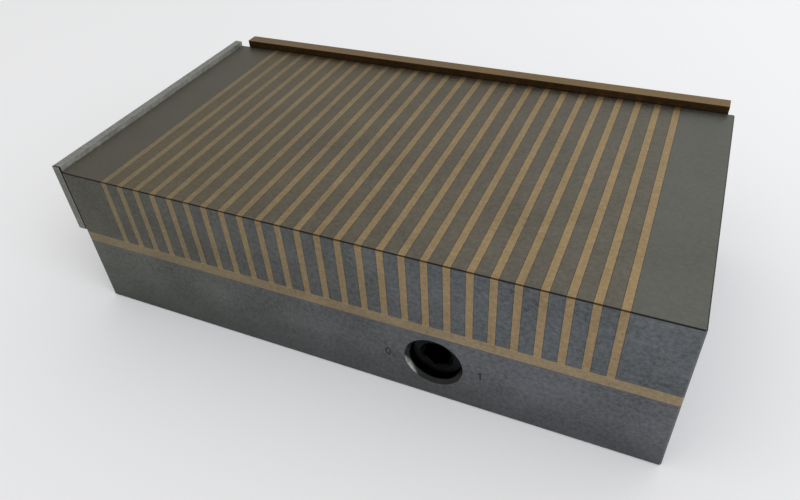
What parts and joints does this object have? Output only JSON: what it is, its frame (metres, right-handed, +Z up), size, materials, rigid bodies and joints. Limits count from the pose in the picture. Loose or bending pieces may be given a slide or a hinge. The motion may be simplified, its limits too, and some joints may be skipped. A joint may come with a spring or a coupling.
{
  "type": "magnetic chuck",
  "caption": "Rectangular permanent magnetic chuck with brass-striped pole plate, key-turned cam shaft, sliding magnet pack, side stop and rear stop rail.",
  "frame": {"origin": "in the plane the base stands on, under the middle of the working face, at the centre of the four table holes", "axes": "+X along the chuck to the right of its key socket side, +Y from front to rear, +Z up, out of the working face"},
  "size_m": [0.311, 0.174, 0.087],
  "materials": {
    "ground_steel": "surface ground, thin oil film",
    "base_steel": "ground, darker, thin oil film",
    "brass_strip": "ground level with the steel",
    "brass_frame": "ground",
    "rail_brass": "tarnished",
    "black_shaft_steel": "black oxide",
    "screw_steel": "black oxide",
    "bearing_bronze": "machined bronze",
    "pack_brass": "machined",
    "soft_iron": "machined soft iron",
    "ferrite": "sintered ferrite",
    "seal_rubber": "nitrile"
  },
  "bodies": {
    "chuck_body": {"base_housing": "base_steel", "bottom_cover": "base_steel", "cover_screws": "screw_steel", "separation_frame": "brass_frame", "left_end_block": "ground_steel", "right_end_block": "ground_steel", "pole_bars": "ground_steel", "brass_strips": "brass_strip", "clamp_screws": "screw_steel", "front_guide_strips": "bearing_bronze", "rear_guide_strip": "bearing_bronze", "support_strips": "bearing_bronze", "locating_screw": "screw_steel", "side_stop_screws": "screw_steel", "rear_stop_screws": "screw_steel"},
    "magnet_pack": {"pack_pole_plates": "soft_iron", "pack_magnets": "ferrite", "pack_front_rail": "pack_brass", "pack_rear_rail": "pack_brass", "pack_floor": "pack_brass", "pack_left_end_bar": "pack_brass", "pack_right_end_bar": "pack_brass", "pack_slide_strips": "bearing_bronze"},
    "cam_shaft": {"cam_shaft": "black_shaft_steel", "shaft_seal": "seal_rubber"},
    "slide_block": {"slide_block": "bearing_bronze"},
    "side_stop": {"side_stop": "ground_steel"},
    "rear_stop": {"rear_stop": "rail_brass"}
  },
  "joints": [
    {"name": "pack_slide", "type": "slide", "parent": "chuck_body", "child": "magnet_pack", "axis": [1, 0, 0], "range_m": [0, 0.0049]},
    {"name": "key_turn", "type": "hinge", "parent": "chuck_body", "child": "cam_shaft", "pos_m": [0.047, -0.0685, 0.023], "axis": [0, 1, 0], "range_deg": [0, 180]},
    {"name": "block_turn", "type": "hinge", "parent": "cam_shaft", "child": "slide_block", "pos_m": [0.04455, -0.0563, 0.023], "axis": [0, 1, 0], "range_deg": [-180, 0]},
    {"name": "side_stop_slide", "type": "slide", "parent": "chuck_body", "child": "side_stop", "axis": [0, 0, 1], "range_m": [-0.0037, 0.0023]},
    {"name": "rear_stop_slide", "type": "slide", "parent": "chuck_body", "child": "rear_stop", "axis": [0, 0, 1], "range_m": [-0.005, 0.002]}
  ],
  "couplings": [
    {"joint": "key_turn", "follows": "pack_slide", "rad_per_m": 641.14},
    {"joint": "block_turn", "follows": "pack_slide", "rad_per_m": -641.14}
  ]
}
